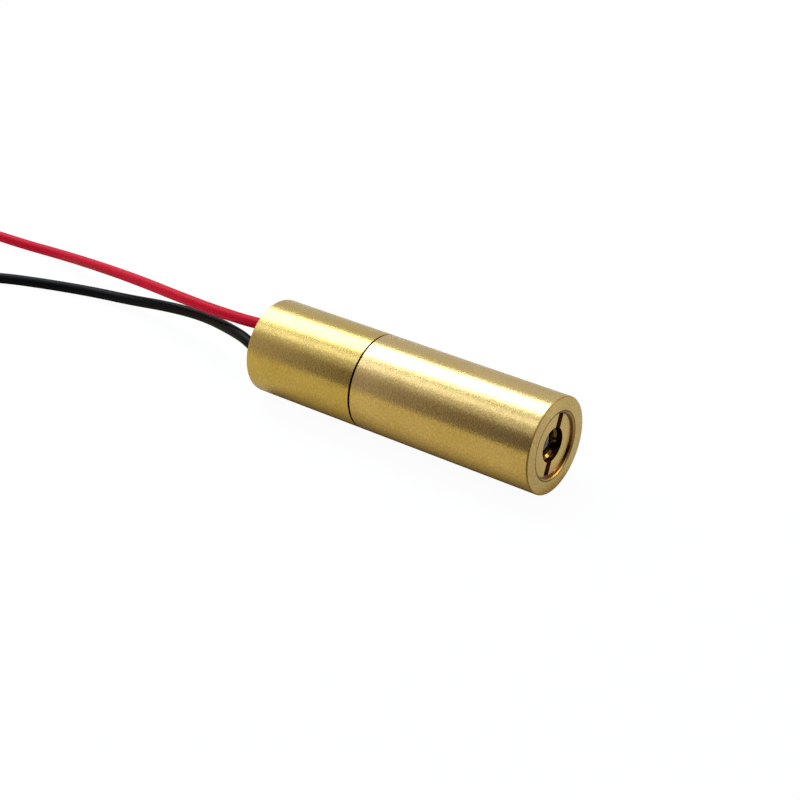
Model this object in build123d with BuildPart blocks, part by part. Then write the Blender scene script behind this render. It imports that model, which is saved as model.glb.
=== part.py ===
from math import asin, cos, degrees, pi, radians, sin, tan
import os

from build123d import *

# Laser diode module with a brass housing, a focusing lens behind a slotted nut, a driver board
# and two loose leads. Millimetres, +X along the beam, +Z up, origin on the optical axis halfway
# along the housing.

# Housing
overall_length = 31.0
body_diameter = 9.0
edge_break = 0.15
barrel_visible_length = 18.9
seam_width = 0.15
seam_edge_break = 0.05
spigot_share = 0.7
spigot_length = 3.5
spigot_clearance = 0.02
spigot_end_gap = 0.15
rear_bore_share = 0.4
sleeve_bore_share = 0.52

# Lens nut and its thread bore
nut_diameter = 6.0
nut_clearance = 0.05
nut_length = 3.5
nut_recess = 0.3
nut_wall = 0.85
nut_edge_break = 0.07
aperture_diameter = 3.2
slot_width = 0.8
slot_depth = 0.6
slot_angle = 22.5
slot_offset = 0.15
thread_bore_depth = 5.6
mouth_chamfer = 0.1

# Collimating lens
lens_diameter = 4.5
lens_clearance = 0.05
lens_seat_gap = 0.03
lens_rim = 1.8
lens_front_width = 3.0
lens_front_sag = 0.3
lens_rear_width = 3.6
lens_rear_sag = 0.75

# Focus spring
spring_wire = 0.3
spring_clearance = 0.1
spring_turns = 5
spring_seat_gap = 0.02
spring_bore_clearance = 0.3
spring_facets = 8

# Laser diode can
seat_lip = 0.1
cap_hole_diameter = 3.7
stem_diameter = 5.6
stem_thickness = 1.2
stem_clearance = 0.02
stem_notch_width = 1.0
stem_notch_depth = 0.4
stem_vee_depth = 0.35
diode_depth = 8.8
cap_diameter = 3.55
cap_height = 2.3
cap_wall = 0.2
cap_flange_diameter = 4.4
cap_flange_thickness = 0.25
cap_flange_clearance = 0.1
window_diameter = 2.6
window_thickness = 0.25
window_opening = 2.0
emitter_height = 1.27
mount_width = 1.2
mount_drop = 1.1
submount_width = 0.8
submount_length = 1.0
submount_thickness = 0.1
chip_width = 0.3
chip_length = 0.3
chip_thickness = 0.12
monitor_size = 0.7
monitor_thickness = 0.15
monitor_height = 0.45
lead_diameter = 0.4
lead_spacing = 1.0
lead_share = 0.2
lead_stub = 0.5
lead_seal_diameter = 1.0

# Driver board, held between the upper and the lower diode leads
board_front_share = 0.095
board_rear_share = 0.786
board_clearance = 0.06
lead_to_board = 0.05
board_corner = 0.4
board_notch_radius = 0.5
chip_part_length = 1.6
chip_part_width = 0.8
chip_part_end = 0.3
resistor_height = 0.45
capacitor_height = 0.8
transistor_length = 2.9
transistor_width = 1.3
transistor_height = 1.0
transistor_lift = 0.1
transistor_span = 2.4
transistor_draft = 5
leg_width = 0.4
leg_thickness = 0.15
leg_pitch = 0.95
first_row_share = 0.262
row_pitch_share = 0.114
chip_part_spacing = 2.0
solder_spread = 0.3
solder_cover = 0.1
wire_solder_spread = 0.5

# Leads that leave the rear of the housing
wire_diameter = 1.12
core_diameter = 0.5
core_share = 0.11
jacket_to_board = 0.1
seal_thickness = 1.6
seal_recess = 0.2
seal_clearance = 0.01
arc_share = 0.45
coil_radius = 6.2
coil_layer_pitch = 1.15
coil_slack = 0.04
coil_lug = 4.5
tip_length = 4.0
red_coil_turns = 1.25
red_coil_side = 1
black_coil_turns = 1.5
black_coil_side = -1

# Places along the axis, worked out from the sizes above
front = overall_length / 2
rear = -overall_length / 2
floor_z = -body_diameter / 2
seam_front = front - barrel_visible_length
seam_rear = seam_front - seam_width
spigot_end = seam_front - spigot_length
diode_face = front - diode_depth
stem_rear = diode_face - stem_thickness
nut_front = front - nut_recess
nut_rear = nut_front - nut_length
lens_front = nut_front - nut_wall - lens_seat_gap
lens_rear = lens_front - lens_rim
cap_top = diode_face + cap_height
flange_front = cap_top + seat_lip
emitter_x = diode_face + emitter_height
board_room = stem_rear - rear
lead_end = stem_rear - lead_share * board_room
board_front = stem_rear - board_front_share * board_room
board_rear = stem_rear - board_rear_share * board_room
board_bottom = -lead_spacing + lead_diameter / 2 + lead_to_board
board_top = -lead_diameter / 2 - lead_to_board
board_thickness = board_top - board_bottom
jacket_end = board_rear - jacket_to_board
wire_z = floor_z + wire_diameter / 2
wire_top_z = wire_z + coil_layer_pitch

# The wires' routes, from the driver board out to the put-away coils. The first point lies on the
# board, and each coil starts after the last one.
red_start_y = 1.5
black_start_y = -1.9
red_route = [
    (jacket_end, red_start_y, board_top + wire_diameter / 2),
    (rear + 0.9, 1.7, 1.1),
    (rear - 3.5, 1.2, 0.7),
    (rear - 9.0, 1.3, 0.45),
    (rear - 14.5, 2.1, 0.0),
    (rear - 20.5, 3.4, -0.7),
    (rear - 26.5, 4.9, -1.7),
    (rear - 32.5, 6.35, wire_z + 1.14),
    (rear - 38.0, 7.75, wire_z),
    (rear - 43.5, 7.2, wire_z),
    (rear - 52.0, 6.95, wire_z),
    (rear - 60.5, 6.9, wire_z),
    (rear - 65.5, 6.7, wire_top_z),
]
black_route = [
    (jacket_end, black_start_y, board_bottom - wire_diameter / 2),
    (rear + 0.9, -2.0, -1.5),
    (rear - 2.9, -0.55, -0.3),
    (rear - 6.9, 1.05, -0.8),
    (rear - 12.0, 2.8, -1.65),
    (rear - 17.5, 3.4, -2.5),
    (rear - 23.0, 3.6, wire_z + 0.44),
    (rear - 28.0, 3.3, wire_z),
    (rear - 33.5, 1.7, wire_z),
    (rear - 39.0, -0.3, wire_z),
    (rear - 44.0, -3.6, wire_z),
    (rear - 48.0, -6.3, wire_z + 0.6),
    (rear - 51.5, -7.2, wire_top_z),
]


def cross_plane(x):
    """Plane square to the beam at x, seen from the front: its x is +Y and its y is +Z."""
    return Plane(origin=(x, 0, 0), x_dir=(0, 1, 0), z_dir=(1, 0, 0))


def rod_along_x(x_low, x_high, diameter, places):
    """Equal round rods along X from x_low to x_high, one at each (y, z) place."""
    with BuildPart() as rods:
        with BuildSketch(cross_plane(x_low)):
            with Locations(*places):
                Circle(diameter / 2)
        extrude(amount=x_high - x_low)
    return rods.part


def outer_edge(part, end):
    """The largest circle on a turned part's end face: end -1 is the front, 0 the rear."""
    return part.edges().filter_by(GeomType.CIRCLE).group_by(Axis.X)[end].sort_by(SortBy.RADIUS)[-1]


# Bores, and walls shared out between the stem's bore and the outside
thread_bore = nut_diameter + 2 * nut_clearance
nut_bore = lens_diameter + 2 * lens_clearance
spring_outer = nut_bore - 2 * spring_clearance
spring_bore = spring_outer + 2 * spring_bore_clearance
stem_bore = stem_diameter + 2 * stem_clearance
cap_flange_bore = cap_flange_diameter + 2 * cap_flange_clearance
wall_room = body_diameter - stem_bore
rear_bore = stem_bore + rear_bore_share * wall_room
sleeve_bore = stem_bore + sleeve_bore_share * wall_room
spigot_diameter = stem_bore + spigot_share * wall_room

# Front barrel: thread bore, spring bore, diode seat, rear bore and the spigot for the sleeve
with BuildPart() as front_barrel:
    with BuildSketch(Plane.XY):
        with BuildLine():
            Polyline(
                (front, thread_bore / 2),
                (front, body_diameter / 2),
                (seam_front, body_diameter / 2),
                (seam_front, spigot_diameter / 2),
                (spigot_end, spigot_diameter / 2),
                (spigot_end, rear_bore / 2),
                (stem_rear, rear_bore / 2),
                (stem_rear, stem_bore / 2),
                (diode_face, stem_bore / 2),
                (diode_face, cap_flange_bore / 2),
                (diode_face + cap_flange_thickness + cap_flange_clearance, cap_flange_bore / 2),
                (diode_face + cap_flange_thickness + cap_flange_clearance, cap_hole_diameter / 2),
                (flange_front, cap_hole_diameter / 2),
                (flange_front, spring_bore / 2),
                (front - thread_bore_depth, spring_bore / 2),
                (front - thread_bore_depth, thread_bore / 2),
                close=True,
            )
        make_face()
    revolve(axis=Axis.X)
    mouth_edges = edges().filter_by(GeomType.CIRCLE).group_by(Axis.X)[-1].sort_by(SortBy.RADIUS)
    chamfer(mouth_edges[-1], edge_break)
    chamfer(mouth_edges[0], mouth_chamfer)
    seam_edges = edges().filter_by(GeomType.CIRCLE).filter_by(
        lambda edge: abs(edge.radius - body_diameter / 2) < 0.01
    )
    chamfer(seam_edges.sort_by(Axis.X)[0], seam_edge_break)
front_barrel.part.label = "front_barrel"

# Rear sleeve: a socket for the spigot and an open bore behind it
socket_end = spigot_end - spigot_end_gap
with BuildPart() as rear_sleeve:
    with BuildSketch(Plane.XY):
        with BuildLine():
            Polyline(
                (seam_rear, body_diameter / 2),
                (rear, body_diameter / 2),
                (rear, sleeve_bore / 2),
                (socket_end, sleeve_bore / 2),
                (socket_end, spigot_diameter / 2 + spigot_clearance),
                (seam_rear, spigot_diameter / 2 + spigot_clearance),
                close=True,
            )
        make_face()
    revolve(axis=Axis.X)
    chamfer(outer_edge(rear_sleeve.part, -1), seam_edge_break)
    chamfer(outer_edge(rear_sleeve.part, 0), edge_break)
rear_sleeve.part.label = "rear_sleeve"

# Lens nut: a threaded ring with a front wall, a round aperture and a screwdriver slot across it.
# The slot leans to the right at the top and runs a little to one side of the axis.
with BuildPart() as lens_nut:
    with BuildSketch(Plane.XY):
        with BuildLine():
            Polyline(
                (nut_front, aperture_diameter / 2),
                (nut_front, nut_diameter / 2),
                (nut_rear, nut_diameter / 2),
                (nut_rear, nut_bore / 2),
                (nut_front - nut_wall, nut_bore / 2),
                (nut_front - nut_wall, aperture_diameter / 2),
                close=True,
            )
        make_face()
    revolve(axis=Axis.X)
    chamfer(outer_edge(lens_nut.part, -1), nut_edge_break)
    chamfer(outer_edge(lens_nut.part, 0), nut_edge_break)
    with BuildSketch(cross_plane(nut_front)):
        slot_lean = radians(slot_angle)
        with Locations((slot_offset * cos(slot_lean), -slot_offset * sin(slot_lean))):
            Rectangle(slot_width, 1.5 * nut_diameter, rotation=-slot_angle)
    extrude(amount=-slot_depth, mode=Mode.SUBTRACT)
lens_nut.part.label = "lens_nut"

# Collimating lens: a moulded asphere with a plain rim, flatter in front, deeper towards the diode
front_radius = ((lens_front_width / 2) ** 2 + lens_front_sag**2) / (2 * lens_front_sag)
rear_radius = ((lens_rear_width / 2) ** 2 + lens_rear_sag**2) / (2 * lens_rear_sag)
front_sweep = degrees(asin(lens_front_width / 2 / front_radius))
rear_sweep = degrees(asin(lens_rear_width / 2 / rear_radius))
with BuildPart() as collimating_lens:
    with BuildSketch(Plane.XY):
        with BuildLine():
            front_dome = CenterArc(
                (lens_front + lens_front_sag - front_radius, 0), front_radius, 0, front_sweep
            )
            rear_dome = CenterArc(
                (lens_rear - lens_rear_sag + rear_radius, 0), rear_radius, 180, -rear_sweep
            )
            Polyline(
                front_dome @ 1,
                (lens_front, lens_diameter / 2),
                (lens_rear, lens_diameter / 2),
                rear_dome @ 1,
            )
            Line(rear_dome @ 0, front_dome @ 0)
        make_face()
    revolve(axis=Axis.X)
collimating_lens.part.label = "collimating_lens"

# Focus spring: an open coil between the lens rim and the seat flange, its wire with flat facets
spring_length = lens_rear - flange_front - 2 * spring_seat_gap - spring_wire
with BuildPart() as focus_spring:
    with BuildLine() as spring_path:
        Helix(
            pitch=spring_length / spring_turns,
            height=spring_length,
            radius=(spring_outer - spring_wire) / 2,
            center=(flange_front + spring_seat_gap + spring_wire / 2, 0, 0),
            direction=(1, 0, 0),
        )
    with BuildSketch(Plane(origin=spring_path.line @ 0, z_dir=spring_path.line % 0)):
        RegularPolygon(spring_wire / 2, spring_facets)
    sweep(path=spring_path.line, is_frenet=True)
focus_spring.part.label = "focus_spring"

# Diode stem: a round header with a locating notch, two vee notches and two lead holes
lead_places = [(-lead_spacing, 0), (lead_spacing, 0)]
case_lead_place = [(0, -lead_spacing)]
with BuildPart() as diode_stem:
    with BuildSketch(cross_plane(stem_rear)):
        Circle(stem_diameter / 2)
        with Locations((0, -stem_diameter / 2)):
            Rectangle(stem_notch_width, 2 * stem_notch_depth, mode=Mode.SUBTRACT)
        with Locations((-stem_diameter / 2, 0), (stem_diameter / 2, 0)):
            RegularPolygon(stem_vee_depth, 4, mode=Mode.SUBTRACT)
        with Locations(*lead_places):
            Circle(lead_seal_diameter / 2, mode=Mode.SUBTRACT)
    extrude(amount=stem_thickness)
diode_stem.part.label = "diode_stem"

# Diode cap: a drawn can with a welding flange and a window opening in its top
with BuildPart() as diode_cap:
    with BuildSketch(Plane.XY):
        with BuildLine():
            Polyline(
                (diode_face, cap_diameter / 2 - cap_wall),
                (diode_face, cap_flange_diameter / 2),
                (diode_face + cap_flange_thickness, cap_flange_diameter / 2),
                (diode_face + cap_flange_thickness, cap_diameter / 2),
                (cap_top, cap_diameter / 2),
                (cap_top, window_opening / 2),
                (cap_top - cap_wall, window_opening / 2),
                (cap_top - cap_wall, cap_diameter / 2 - cap_wall),
                close=True,
            )
        make_face()
    revolve(axis=Axis.X)
    chamfer(
        edges().filter_by(GeomType.CIRCLE).group_by(Axis.X)[-1].sort_by(SortBy.RADIUS)[-1], cap_wall / 2
    )
diode_cap.part.label = "diode_cap"

# Diode window: a glass disc fused under the cap's top
with BuildPart() as diode_window:
    with BuildSketch(cross_plane(cap_top - cap_wall)):
        Circle(window_diameter / 2)
    extrude(amount=-window_thickness)
diode_window.part.label = "diode_window"

# Chip mount: the copper block on the stem, with its top just below the optical axis
chip_bottom = -chip_thickness / 2
mount_top = chip_bottom - submount_thickness
with BuildPart() as chip_mount:
    with BuildSketch(cross_plane(diode_face)):
        with Locations((0, (mount_top - mount_drop) / 2)):
            Rectangle(mount_width, mount_drop + mount_top)
    extrude(amount=emitter_height)
    chamfer(edges().filter_by(Axis.X).group_by(Axis.Z)[0], mount_width / 6)
chip_mount.part.label = "chip_mount"

# Chip submount: the ceramic plate under the chip
with BuildPart() as chip_submount:
    with BuildSketch(Plane.XY.offset(mount_top)):
        with Locations((emitter_x - submount_length / 2, 0)):
            Rectangle(submount_length, submount_width)
    extrude(amount=submount_thickness)
chip_submount.part.label = "chip_submount"

# Laser chip: its front facet is the emitting point, on the axis
with BuildPart() as laser_chip:
    with BuildSketch(Plane.XY.offset(chip_bottom)):
        with Locations((emitter_x - chip_length / 2, 0)):
            Rectangle(chip_length, chip_width)
    extrude(amount=chip_thickness)
laser_chip.part.label = "laser_chip"

# Monitor photodiode: on the stem behind the chip
with BuildPart() as monitor_photodiode:
    with BuildSketch(cross_plane(diode_face)):
        with Locations((0, monitor_height)):
            Rectangle(monitor_size, monitor_size)
    extrude(amount=monitor_thickness)
monitor_photodiode.part.label = "monitor_photodiode"

# Diode leads: the laser and the monitor lead pass through glass, the case lead is welded on
laser_lead = rod_along_x(lead_end, diode_face + lead_stub, lead_diameter, lead_places[:1])
laser_lead.label = "laser_lead"
monitor_lead = rod_along_x(lead_end, diode_face + lead_stub, lead_diameter, lead_places[1:])
monitor_lead.label = "monitor_lead"
case_lead = rod_along_x(lead_end, stem_rear, lead_diameter, case_lead_place)
case_lead.label = "case_lead"

# Lead seals: glass rings between the stem and the insulated leads
with BuildPart() as lead_seals:
    with BuildSketch(cross_plane(stem_rear)):
        with Locations(*lead_places):
            Circle(lead_seal_diameter / 2)
            Circle(lead_diameter / 2, mode=Mode.SUBTRACT)
    extrude(amount=stem_thickness)
lead_seals.part.label = "lead_seals"

# Driver board: as wide as the rear bore lets it be at its lower face
board_half_width = ((rear_bore / 2) ** 2 - board_bottom**2) ** 0.5 - board_clearance
with BuildPart() as driver_board:
    with BuildSketch(Plane.XY.offset(board_bottom)):
        with Locations(((board_front + board_rear) / 2, 0)):
            Rectangle(board_front - board_rear, 2 * board_half_width)
        chamfer(vertices(), board_corner)
        with Locations((board_rear, 0)):
            Circle(board_notch_radius, mode=Mode.SUBTRACT)
    extrude(amount=board_thickness)
driver_board.part.label = "driver_board"

# Places of the parts on the board: transistor rows between rows of small chip parts
rows = [stem_rear - (first_row_share + row_pitch_share * n) * board_room for n in range(4)]
chip_rows = rows[0::2]
transistor_rows = rows[1::2]
capacitor_places = [(chip_rows[0], chip_part_spacing), (chip_rows[1], chip_part_spacing)]
resistor_places = [
    (chip_rows[0], -chip_part_spacing),
    (chip_rows[0], 0),
    (chip_rows[1], -chip_part_spacing),
]


def chip_bodies(places, height):
    """Ceramic bodies of chip parts on the board, without their metal ends."""
    with BuildPart() as bodies:
        with BuildSketch(Plane.XY.offset(board_top)):
            with Locations(*places):
                Rectangle(chip_part_length - 2 * chip_part_end, chip_part_width)
        extrude(amount=height)
    return bodies.part


def chip_ends(places, height):
    """Metal ends of chip parts, one at each end of each body."""
    reach = (chip_part_length - chip_part_end) / 2
    with BuildPart() as ends:
        with BuildSketch(Plane.XY.offset(board_top)):
            for x, y in places:
                with Locations((x - reach, y), (x + reach, y)):
                    Rectangle(chip_part_end, chip_part_width)
        extrude(amount=height)
    return ends.part


resistor_bodies = chip_bodies(resistor_places, resistor_height)
resistor_bodies.label = "resistor_bodies"
resistor_ends = chip_ends(resistor_places, resistor_height)
resistor_ends.label = "resistor_ends"
capacitor_bodies = chip_bodies(capacitor_places, capacitor_height)
capacitor_bodies.label = "capacitor_bodies"
capacitor_ends = chip_ends(capacitor_places, capacitor_height)
capacitor_ends.label = "capacitor_ends"

# Transistor bodies: moulded blocks with drafted sides
with BuildPart() as transistor_bodies:
    with BuildSketch(Plane.XY.offset(board_top + transistor_lift)):
        with Locations(*[(x, 0) for x in transistor_rows]):
            Rectangle(transistor_width, transistor_length)
    extrude(amount=transistor_height, taper=transistor_draft)
transistor_bodies.part.label = "transistor_bodies"

# Transistor legs: bent strips from the body's middle down to the board, two in front, one behind
leg_top = board_top + transistor_lift + transistor_height / 2
leg_places = [(1, -leg_pitch), (1, leg_pitch), (-1, 0)]
with BuildPart() as transistor_legs:
    for row in transistor_rows:
        for side, y in leg_places:
            root = row + side * transistor_width / 2
            foot = row + side * transistor_span / 2
            knee = (root + foot) / 2
            with BuildSketch(Plane.XZ.offset(-y - leg_width / 2)):
                with BuildLine():
                    Polyline(
                        (root, leg_top),
                        (knee + side * leg_thickness / 2, leg_top),
                        (knee + side * leg_thickness / 2, board_top + leg_thickness),
                        (foot, board_top + leg_thickness),
                        (foot, board_top),
                        (knee - side * leg_thickness / 2, board_top),
                        (knee - side * leg_thickness / 2, leg_top - leg_thickness),
                        (root, leg_top - leg_thickness),
                        close=True,
                    )
                make_face()
            extrude(amount=leg_width)
transistor_legs.part.label = "transistor_legs"

# Wire cores: the stripped ends that lie on the board's rear pads, red above and black below
red_pad_z = board_top + wire_diameter / 2
black_pad_z = board_bottom - wire_diameter / 2
core_front = jacket_end + core_share * board_room
core_places = [(red_start_y, red_pad_z), (black_start_y, black_pad_z)]
wire_cores = rod_along_x(jacket_end, core_front, core_diameter, core_places)
wire_cores.label = "wire_cores"

# Solder joints: a cone on the board round each diode lead and each wire core
def solder_cone(x, y, z, rod_diameter, spread):
    """Cone of solder from the board's nearer face over a rod whose middle is at height z."""
    face_z = board_top if z > board_top else board_bottom
    reach = abs(z - face_z) + rod_diameter / 2 + solder_cover
    tip_radius = rod_diameter / 2 + solder_cover
    with BuildPart() as cone:
        with Locations(Location((x, y, face_z), (0 if z > face_z else 180, 0, 0))):
            Cone(
                tip_radius + spread,
                tip_radius,
                reach,
                align=(Align.CENTER, Align.CENTER, Align.MIN),
            )
    return cone.part


solder_x = (board_front + lead_end) / 2
wire_solder_x = (board_rear + core_front) / 2
with BuildPart() as solder_joints:
    for y, z in lead_places + case_lead_place:
        add(solder_cone(solder_x, y, z, lead_diameter, solder_spread))
    for y, z in core_places:
        add(solder_cone(wire_solder_x, y, z, core_diameter, wire_solder_spread))
    add(laser_lead, mode=Mode.SUBTRACT)
    add(monitor_lead, mode=Mode.SUBTRACT)
    add(case_lead, mode=Mode.SUBTRACT)
    add(wire_cores, mode=Mode.SUBTRACT)
solder_joints.part.label = "solder_joints"


def route_radii(points):
    """Arc radius at each corner: a share of its shorter run, over the tangent of half its turn."""
    radii = []
    for before, corner, after in zip(points, points[1:], points[2:]):
        run_in = Vector(*corner) - Vector(*before)
        run_out = Vector(*after) - Vector(*corner)
        shorter = min(run_in.length, run_out.length)
        radii.append(arc_share * shorter / tan(radians(run_in.get_angle(run_out)) / 2))
    return radii


def wire_path(points):
    """The middle line of a wire: straight runs joined by tangent arcs."""
    with BuildLine() as path:
        FilletPolyline(*points, radius=route_radii(points))
    return path.wire()


def wire_tube(points, diameter):
    """A round tube along a wire's middle line."""
    path = wire_path(points)
    with BuildPart() as tube:
        with BuildSketch(Plane(origin=path @ 0, z_dir=path % 0)):
            Circle(diameter / 2)
        sweep(path=path)
    return tube.part


# Wires: each runs from its pad on the board, through the seal, to its coil
red_wire = wire_tube(red_route, wire_diameter)
red_wire.label = "red_wire"
black_wire = wire_tube(black_route, wire_diameter)
black_wire.label = "black_wire"
for wire, route in [(red_wire, red_route), (black_wire, black_route)]:
    length = wire_path(route).length
    swept_volume = length * pi * wire_diameter**2 / 4
    print(wire.label, "radii", [round(radius, 1) for radius in route_radii(route)])
    print(wire.label, "length", round(length, 1), "volume ratio", round(wire.volume / swept_volume, 4))

# Wire seal: the epoxy that closes the sleeve's rear end, moulded round both wires
seal_hole = wire_diameter + 2 * seal_clearance
with BuildPart() as wire_seal:
    with BuildSketch(cross_plane(rear + seal_recess)):
        Circle(sleeve_bore / 2)
    extrude(amount=seal_thickness)
    add(wire_tube(red_route, seal_hole), mode=Mode.SUBTRACT)
    add(wire_tube(black_route, seal_hole), mode=Mode.SUBTRACT)
wire_seal.part.label = "wire_seal"


def coil_centre(route, side):
    """A coil's centre: beside the end of its straight lead-in, towards -Y for side 1, +Y for -1."""
    x, y, z = route[-1]
    return (x - coil_lug, y - side * coil_radius)


def coil_end(route, turns, side):
    """Where the wire leaves the coil on the floor, and its heading there."""
    cx, cy = coil_centre(route, side)
    angle = side * (pi / 2 + 2 * pi * turns)
    point = (cx + coil_radius * cos(angle), cy + coil_radius * sin(angle), wire_z)
    return Vector(*point), Vector(-sin(angle), cos(angle), 0) * side


def coil_solid(route, turns, side):
    """Outer shape of a two-layer coil, with its lead-in above and its free end on the floor."""
    cx, cy = coil_centre(route, side)
    point, heading = coil_end(route, turns, side)
    half_width = wire_diameter / 2 + coil_slack
    with BuildPart() as coil:
        with BuildSketch(Plane.XY.offset(floor_z + coil_slack)):
            with Locations((cx, cy)):
                Circle(coil_radius + half_width)
                Circle(coil_radius - half_width, mode=Mode.SUBTRACT)
        extrude(amount=wire_diameter + coil_layer_pitch - 2 * coil_slack)
        with BuildSketch(Plane(origin=route[-1], z_dir=(-1, 0, 0))):
            Circle(wire_diameter / 2)
        extrude(amount=coil_lug)
        with BuildSketch(Plane(origin=point, z_dir=heading)):
            Circle(wire_diameter / 2)
        extrude(amount=coil_lug)
    return coil.part


def wire_tip(route, turns, side):
    """The stripped and tinned end of a wire, on the wire's own line."""
    point, heading = coil_end(route, turns, side)
    with BuildPart() as tip:
        with BuildSketch(Plane(origin=point + heading * coil_lug, z_dir=heading)):
            Circle(core_diameter / 2)
        extrude(amount=tip_length)
    return tip.part


# Put-away ends: each wire's coil and the bare tinned end that comes out of it
red_wire_coil = coil_solid(red_route, red_coil_turns, red_coil_side)
red_wire_coil.label = "red_wire_coil"
black_wire_coil = coil_solid(black_route, black_coil_turns, black_coil_side)
black_wire_coil.label = "black_wire_coil"
red_wire_tip = wire_tip(red_route, red_coil_turns, red_coil_side)
red_wire_tip.label = "red_wire_tip"
black_wire_tip = wire_tip(black_route, black_coil_turns, black_coil_side)
black_wire_tip.label = "black_wire_tip"

os.makedirs("parts", exist_ok=True)
export_step(front_barrel.part, "parts/front_barrel.step")
export_step(rear_sleeve.part, "parts/rear_sleeve.step")
export_step(lens_nut.part, "parts/lens_nut.step")
export_step(collimating_lens.part, "parts/collimating_lens.step")
export_step(focus_spring.part, "parts/focus_spring.step")
export_step(diode_stem.part, "parts/diode_stem.step")
export_step(diode_cap.part, "parts/diode_cap.step")
export_step(diode_window.part, "parts/diode_window.step")
export_step(chip_mount.part, "parts/chip_mount.step")
export_step(chip_submount.part, "parts/chip_submount.step")
export_step(laser_chip.part, "parts/laser_chip.step")
export_step(monitor_photodiode.part, "parts/monitor_photodiode.step")
export_step(laser_lead, "parts/laser_lead.step")
export_step(monitor_lead, "parts/monitor_lead.step")
export_step(case_lead, "parts/case_lead.step")
export_step(lead_seals.part, "parts/lead_seals.step")
export_step(driver_board.part, "parts/driver_board.step")
export_step(resistor_bodies, "parts/resistor_bodies.step")
export_step(resistor_ends, "parts/resistor_ends.step")
export_step(capacitor_bodies, "parts/capacitor_bodies.step")
export_step(capacitor_ends, "parts/capacitor_ends.step")
export_step(transistor_bodies.part, "parts/transistor_bodies.step")
export_step(transistor_legs.part, "parts/transistor_legs.step")
export_step(wire_cores, "parts/wire_cores.step")
export_step(solder_joints.part, "parts/solder_joints.step")
export_step(wire_seal.part, "parts/wire_seal.step")
export_step(red_wire, "parts/red_wire.step")
export_step(red_wire_coil, "parts/red_wire_coil.step")
export_step(red_wire_tip, "parts/red_wire_tip.step")
export_step(black_wire, "parts/black_wire.step")
export_step(black_wire_coil, "parts/black_wire_coil.step")
export_step(black_wire_tip, "parts/black_wire_tip.step")
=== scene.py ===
import bpy
import numpy as np
from mathutils import Matrix, Vector


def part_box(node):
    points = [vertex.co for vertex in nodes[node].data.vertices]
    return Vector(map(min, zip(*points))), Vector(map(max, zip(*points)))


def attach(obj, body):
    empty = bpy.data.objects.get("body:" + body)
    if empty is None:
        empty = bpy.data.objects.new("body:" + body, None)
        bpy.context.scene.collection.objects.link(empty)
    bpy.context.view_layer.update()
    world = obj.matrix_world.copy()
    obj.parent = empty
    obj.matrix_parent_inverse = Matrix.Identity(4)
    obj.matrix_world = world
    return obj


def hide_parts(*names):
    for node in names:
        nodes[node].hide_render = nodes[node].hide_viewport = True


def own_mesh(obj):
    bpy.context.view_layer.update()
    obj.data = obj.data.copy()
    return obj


# A brass laser diode module on its side, with its red and its black lead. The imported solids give
# the places. This script gives the turned metal, the fine thread, the epoxy and the loose leads.
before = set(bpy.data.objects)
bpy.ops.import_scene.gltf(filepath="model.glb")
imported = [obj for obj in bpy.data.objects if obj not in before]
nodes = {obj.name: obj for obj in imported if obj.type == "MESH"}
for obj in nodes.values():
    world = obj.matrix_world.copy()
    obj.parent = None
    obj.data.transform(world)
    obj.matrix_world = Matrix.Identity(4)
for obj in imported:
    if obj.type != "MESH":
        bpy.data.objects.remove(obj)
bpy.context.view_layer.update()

MM = 0.001

# How finely shapes are drawn: columns round a turned piece, points of a broken edge, rows of the
# mouth's bevel and of a thread's pitch, rows of a spring's turn and its sides, rows and sides of
# a bare wire end, rings of the seal's faces, and the angle from which an edge is a crease
AROUND = 192
EDGE_POINTS = 5
MOUTH_ROWS = 6
PITCH_ROWS = 12
SPRING_ROWS = 40
SPRING_SIDES = 12
TIP_ROWS = 60
TIP_SIDES = 42
SEAL_RINGS = (5, 40)
CREASE = np.radians(25)

# Sizes that the solids' boxes don't give
seam_width = 0.15 * MM
edge_break = 0.15 * MM
seam_edge_break = 0.05 * MM
seam_lean = 0.07 * MM
seam_widest = np.radians(185)
spigot_radius = 4.0 * MM
spigot_end_gap = 0.15 * MM
socket_radius = 4.02 * MM
rear_bore_radius = 3.5 * MM
sleeve_bore_radius = 3.7 * MM
stem_bore_radius = 2.82 * MM
flange_bore_radius = 2.3 * MM
flange_bore_depth = 0.35 * MM
cap_hole_radius = 1.85 * MM
seat_lip = 0.1 * MM
spring_bore_radius = 2.5 * MM
thread_bore_depth = 5.6 * MM
mouth_break = 0.1 * MM
mouth_edge = 0.12 * MM
mouth_lead_in = 0.02 * MM
thread_pitch = 0.5 * MM
thread_depth = 0.27 * MM
thread_room = 0.05 * MM
aperture_radius = 1.6 * MM
aperture_lip = 0.2 * MM
aperture_step = 0.06 * MM
aperture_break = 0.03 * MM
nut_bore_radius = 2.3 * MM
nut_wall = 0.85 * MM
nut_break = 0.07 * MM
slot_width = 0.8 * MM
slot_depth = 0.6 * MM
slot_lean = np.radians(22.5)
slot_offset = 0.15 * MM
spring_wire = 0.3 * MM
spring_turns = 5
wire_diameter = 1.12 * MM
core_diameter = 0.5 * MM
bare_length = 3.95 * MM
coil_radius = 6.2 * MM
coil_lug = 4.5 * MM
coil_layer_pitch = 1.15 * MM


def linear(hex_colour):
    """An sRGB hex colour as linear red, green and blue, and alpha 1."""
    srgb = np.array([int(hex_colour[i : i + 2], 16) for i in (1, 3, 5)]) / 255
    rgb = np.where(srgb <= 0.04045, srgb / 12.92, ((srgb + 0.055) / 1.055) ** 2.4)
    return (*rgb.tolist(), 1.0)


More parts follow.
